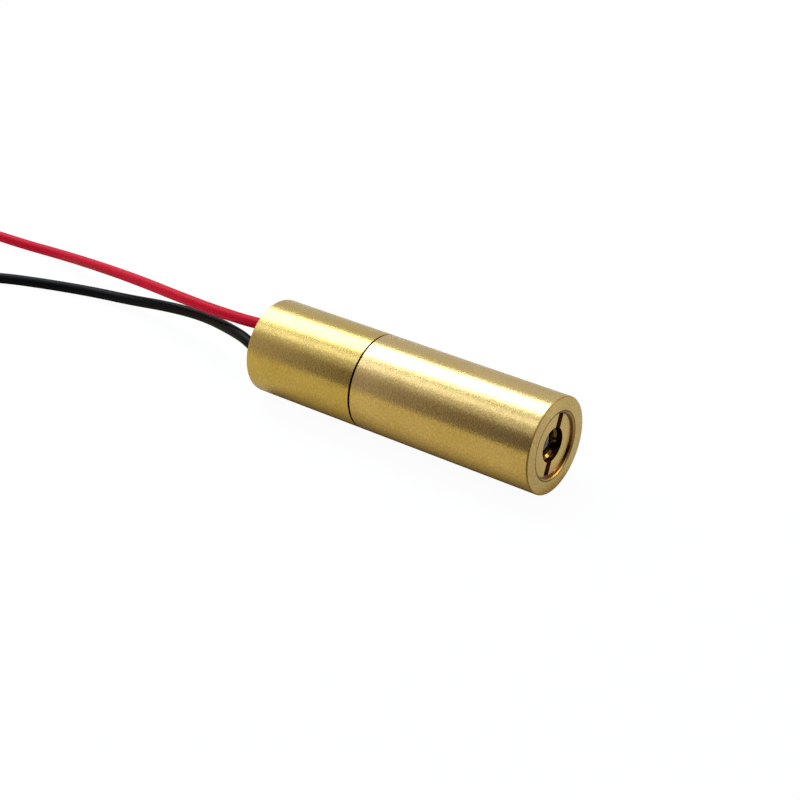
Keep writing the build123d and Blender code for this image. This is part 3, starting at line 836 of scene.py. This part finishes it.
def lead(colour, route, turns, side, material):
    """One lead: its insulated wire, and its stripped end as twisted tinned strands."""
    whole_route = np.concatenate([route, coil_points(route, turns, side)])
    wire = wire_curve(f"{colour}_lead", whole_route, material)
    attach(wire, "housing")
    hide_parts(f"{colour}_wire", f"{colour}_wire_coil")
    line = centre_line(wire)
    heading = line[-1] - line[-2]
    heading /= np.linalg.norm(heading)
    tip_along = np.linspace(-0.3 * MM, bare_length, TIP_ROWS)[:, None]
    tip_line = line[-1] + heading * tip_along
    upwards = np.tile([0.0, 0.0, 1.0], (TIP_ROWS, 1))
    strands = tube_along(
        f"{colour}_lead_strands",
        tip_line,
        upwards,
        core_diameter,
        TIP_SIDES,
        bright_tin,
        twisted_strands,
    )
    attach(strands, "housing")
    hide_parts(f"{colour}_wire_tip")
    exit_point = line[np.argmin(np.abs(line[:, 0] - seal_low[0]))]
    return exit_point


red_exit = lead("red", red_route, 1.25, 1, red_vinyl)
black_exit = lead("black", black_route, 1.5, -1, black_vinyl)

# Wire seal: a disc of epoxy whose outer face lies a little inwards and climbs back along the
# sleeve's wall and both leads
seal_radius = seal_high[2]
seal_dip = 0.18 * MM
seal_angle = np.linspace(0, 2 * np.pi, AROUND, endpoint=False)[None, :]


def seal_climb(y, z):
    """How far the epoxy stands out: it falls off exponentially from the wall and from each lead."""
    wall_climb, wall_reach, lead_reach = 0.14 * MM, 0.25 * MM, 0.22 * MM
    climb = wall_climb * np.exp(-(seal_radius - np.hypot(y, z)) / wall_reach)
    for exit_point in (red_exit, black_exit):
        away = np.hypot(y - exit_point[1], z - exit_point[2]) - wire_diameter / 2
        climb = np.maximum(climb, seal_dip * np.exp(-np.clip(away, 0, None) / lead_reach))
    return climb


def seal_face(radii, x, climbs):
    """Rings of the given radii at x, moved out by the epoxy's climb where it climbs."""
    y = radii[:, None] * np.cos(seal_angle)
    z = radii[:, None] * np.sin(seal_angle)
    return np.stack([x - climbs * seal_climb(y, z), y, z], -1)


# Rings, from a small one round the centre. On the open face they lie closer together towards
# the sleeve's wall, where the epoxy climbs most.
back_shares, open_shares = (np.linspace(0.01, 1, rings) for rings in SEAL_RINGS)
outer_radii = seal_radius * (1 - (1 - open_shares) ** 1.3)
seal_points = np.concatenate(
    [
        seal_face(seal_radius * back_shares, seal_high[0], 0.0),
        seal_face(outer_radii, seal_low[0] + seal_dip, 1.0)[::-1],
    ]
)
wire_seal = grid_piece("wire_seal_poured", seal_points, potting_epoxy, close_rows=False, caps=True)
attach(wire_seal, "housing")
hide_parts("wire_seal")

# Floor: white paper. The camera sees it nearly white with a faint contact shadow. The metal sees
# it with more of its shadow, in a painted warm bounce colour. A painted glow, which only the metal
# sees, evens it out in front of the tube's face and thins out its shadow on the -Y side.
floor_half = 0.7
floor_mesh = bpy.data.meshes.new("floor")
floor_mesh.from_pydata(
    [(x * floor_half, y * floor_half, floor_z) for x, y in ((-1, -1), (1, -1), (1, 1), (-1, 1))],
    [],
    [(0, 1, 2, 3)],
)
floor = bpy.data.objects.new("floor", floor_mesh)
bpy.context.scene.collection.objects.link(floor)
paper, tree = new_finish("white_paper")
rays = add(tree, "LightPath")
mirrored = add(
    tree,
    "Math",
    {0: rays.outputs["Is Glossy Ray"], 1: rays.outputs["Is Transmission Ray"]},
    operation="MAXIMUM",
)
paper_place = add(tree, "TexCoord").outputs["Object"]
paper_x = add(tree, "SeparateXYZ", {"Vector": paper_place}).outputs["X"]
paper_y = add(tree, "SeparateXYZ", {"Vector": paper_place}).outputs["Y"]
ahead = add(
    tree, "MapRange", {"Value": paper_x, "From Min": front_x, "From Max": front_x + 1 * MM}
)
aside = add(
    tree,
    "MapRange",
    {"Value": paper_y, "From Min": -2.3 * MM, "From Max": -4.8 * MM, "To Max": 0.35},
)
# Share of painted glow: 0.7 in front of the face, up to 0.35 on the -Y side
painted_glow_share = add(tree, "Mix", {0: ahead.outputs[0], 2: aside.outputs[0], 3: 0.7})
painted_glow = add(tree, "Math", {0: mirrored.outputs[0], 1: painted_glow_share.outputs[0]}, operation="MULTIPLY")
white_and_painted_glow = add(
    tree,
    "Math",
    {0: rays.outputs["Is Camera Ray"], 1: 0.96, 2: painted_glow.outputs[0]},
    operation="MULTIPLY_ADD",
)
# Paper colour: white for the camera, a painted warm bounce colour in reflections
tint = add(
    tree,
    "Mix",
    {0: mirrored.outputs[0], 6: (0.9, 0.9, 0.9, 1), 7: (0.8, 0.68, 0.44, 1)},
    data_type="RGBA",
)
# Colour of the painted glow: warm beside the tube, nearly white in front of its face
painted_warmth = add(
    tree,
    "Mix",
    {0: ahead.outputs[0], 6: (1.2, 1.05, 0.5, 1), 7: (0.98, 0.97, 0.88, 1)},
    data_type="RGBA",
)
shine = add(
    tree,
    "Mix",
    {0: mirrored.outputs[0], 6: (1, 1, 1, 1), 7: painted_warmth.outputs[2]},
    data_type="RGBA",
)
# Emission: the camera's white paper, plus the painted glow that only reflections see
white = add(tree, "Emission", {"Color": shine.outputs[2], "Strength": white_and_painted_glow.outputs[0]})
sheet = add(tree, "BsdfDiffuse", {"Color": tint.outputs[2]})
nothing = add(tree, "BsdfDiffuse", {"Color": (0, 0, 0, 1)})
dimmed = add(
    tree, "MixShader", {0: white_and_painted_glow.outputs[0], 1: sheet.outputs[0], 2: nothing.outputs[0]}
)
both = add(tree, "AddShader", {0: white.outputs[0], 1: dimmed.outputs[0]})
add(tree, "OutputMaterial", {"Surface": both.outputs[0]})
floor_mesh.materials.append(paper)


def band_direction(degrees):
    """Where the tube's reflections look: a circle of directions round X, 0 towards -Y, 90 up.

    A side that runs along X mirrors the camera's direction, so its X part only changes sign."""
    angle = np.radians(degrees)
    x_part, cross_part = -0.5139, 0.8578
    return Vector((x_part, -cross_part * np.cos(angle), cross_part * np.sin(angle)))


def facing_axes(towards):
    """Two axes square to a direction: the first as near to X as it gets."""
    right = (Vector((1, 0, 0)) - Vector((1, 0, 0)).dot(towards) * towards).normalized()
    return right, towards.cross(right)


def card(name, centre, facing, half_width, half_height, dark, light, strength=1.0):
    """A flat studio card that only the metal and the glass see, darker towards the beam's side."""
    right, up = facing_axes(facing.normalized())
    corners = [
        centre + right * half_width * i + up * half_height * j
        for i, j in ((-1, -1), (1, -1), (1, 1), (-1, 1))
    ]
    mesh = bpy.data.meshes.new(name)
    mesh.from_pydata([tuple(corner) for corner in corners], [], [(0, 1, 2, 3)])
    surface, card_tree = new_finish(name + "_paper")
    place = add(card_tree, "TexCoord").outputs["Object"]
    along_x = add(card_tree, "SeparateXYZ", {"Vector": place}).outputs["X"]
    dark_from_x, light_from_x = -0.24, -0.33
    share = add(
        card_tree,
        "MapRange",
        {"Value": along_x, "From Min": dark_from_x, "From Max": light_from_x},
    )
    tone = add(card_tree, "ValToRGB", {"Fac": share.outputs[0]})
    tone.color_ramp.elements[0].color = linear(dark)
    tone.color_ramp.elements[1].color = linear(light)
    shade = add(card_tree, "Emission", {"Color": tone.outputs[0], "Strength": strength})
    add(card_tree, "OutputMaterial", {"Surface": shade.outputs[0]})
    mesh.materials.append(surface)
    thing = bpy.data.objects.new(name, mesh)
    thing.visible_camera = False
    thing.visible_diffuse = False
    thing.visible_shadow = False
    bpy.context.scene.collection.objects.link(thing)


# A grey card low on the -Y side gives the brass its dark band. Two dark ones in front, one of them
# on the floor, draw the rims, and a small bright one puts a glint on the lower edges of the bores.
low_side = band_direction(15.5) * 0.5
card("grey_card", low_side, low_side, 0.6, 0.22, "#797174", "#F3E7E7")
camera_side = Vector((0.255, -0.156, 0.0))
card("front_card", camera_side, camera_side, 0.3, 0.2, "#1E1712", "#1E1712")
before_rim = Vector((front_x + 12 * MM, -13 * MM, floor_z + 0.1 * MM))
card("floor_card", before_rim, Vector((0, 0, 1)), 11 * MM, 9 * MM, "#1E1712", "#1E1712")
far_side = Vector((0.316, 0.23, 0.311))
card("glint_card", far_side, far_side, 0.06, 0.11, "#FFF4DC", "#FFF4DC", 16.0)

# World: white for the camera and in reflections, and a lower even fill for the rest
world = bpy.data.worlds.new("studio")
bpy.context.scene.world = world
world.use_nodes = True
tree = world.node_tree
tree.nodes.clear()
rays = add(tree, "LightPath")
mirrored = add(
    tree,
    "Math",
    {0: rays.outputs["Is Glossy Ray"], 1: rays.outputs["Is Transmission Ray"]},
    operation="MAXIMUM",
)
seen = add(
    tree, "Math", {0: rays.outputs["Is Camera Ray"], 1: mirrored.outputs[0]}, operation="MAXIMUM"
)
fill = add(tree, "Background", {"Color": (1, 1, 1, 1), "Strength": 0.4})
white = add(tree, "Background", {"Color": (1, 1, 1, 1), "Strength": 1.0})
backdrop = add(
    tree, "MixShader", {0: seen.outputs[0], 1: fill.outputs[0], 2: white.outputs[0]}
)
add(tree, "OutputWorld", {"Surface": backdrop.outputs[0]})


def softbox(name, degrees, distance, width, height, radiance, colour):
    """An evenly bright soft lamp that the tube's reflections see at an angle round X."""
    lamp = bpy.data.lights.new(name, "AREA")
    lamp.shape = "RECTANGLE"
    lamp.size = width
    lamp.size_y = height
    lamp.color = linear(colour)[:3]
    lamp.energy = radiance * np.pi * width * height
    thing = bpy.data.objects.new(name, lamp)
    where = band_direction(degrees) * distance
    back = where.normalized()
    right, up = facing_axes(back)
    thing.matrix_world = Matrix(
        [
            (right.x, up.x, back.x, where.x),
            (right.y, up.y, back.y, where.y),
            (right.z, up.z, back.z, where.z),
            (0, 0, 0, 1),
        ]
    )
    thing.visible_camera = False
    bpy.context.scene.collection.objects.link(thing)


softbox("main_softbox", 105, 0.5, 0.5, 0.285, 8.0, "#D9E6FF")
softbox("front_softbox", 65.5, 0.5, 0.5, 0.11, 2.2, "#DCE8FF")

# Camera, fitted to the outlines of the tube
camera_data = bpy.data.cameras.new("camera")
camera_data.sensor_width = 36
camera_data.lens = 79.124
camera_data.clip_start = 0.005
camera_data.clip_end = 10
camera = bpy.data.objects.new("camera", camera_data)
camera.matrix_world = Matrix(
    [
        (0.80548, -0.29514, 0.51390, 0.08102),
        (0.59262, 0.40115, -0.69848, -0.111551),
        (0.0, 0.86716, 0.49802, 0.07846),
        (0, 0, 0, 1),
    ]
)
bpy.context.scene.collection.objects.link(camera)
bpy.context.scene.camera = camera
bpy.context.scene.view_settings.view_transform = "Standard"

bpy.context.view_layer.update()
